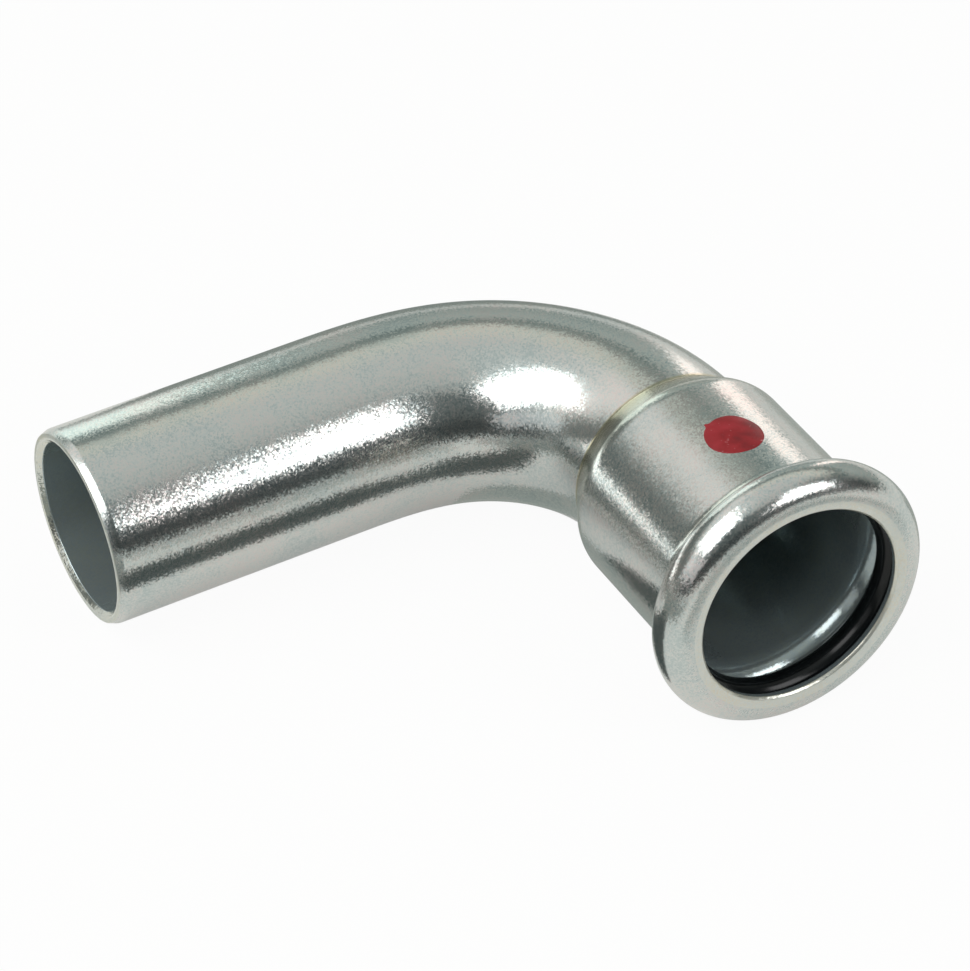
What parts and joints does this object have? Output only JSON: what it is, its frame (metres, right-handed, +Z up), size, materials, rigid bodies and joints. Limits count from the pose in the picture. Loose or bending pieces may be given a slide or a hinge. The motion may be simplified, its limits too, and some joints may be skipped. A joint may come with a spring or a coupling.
{
  "type": "press-fit pipe elbow",
  "caption": "Zinc-plated steel press-fit pipe elbow, right-angled, with a plain spigot at one end and a beaded press socket with a black seal ring and a red paint dot at the other.",
  "frame": {"origin": "on the table, under the middle of the laid elbow's box", "axes": "+Z up off the table, the spigot points to -X, the socket opens to -Y and tips up by 5.6 degrees because the elbow lies on its bead"},
  "size_m": [0.0747, 0.0626, 0.0313],
  "materials": {
    "zinc_plated_steel": "bright zinc plating, satin, with a fine grain",
    "seal_rubber": "smooth moulded black rubber, slightly glossy",
    "red_paint": "thin daubed red lacquer, slightly glossy"
  },
  "bodies": {
    "root": {"elbow_body": "zinc_plated_steel", "seal_ring": "seal_rubber", "colour_dot": "red_paint"}
  },
  "joints": []
}
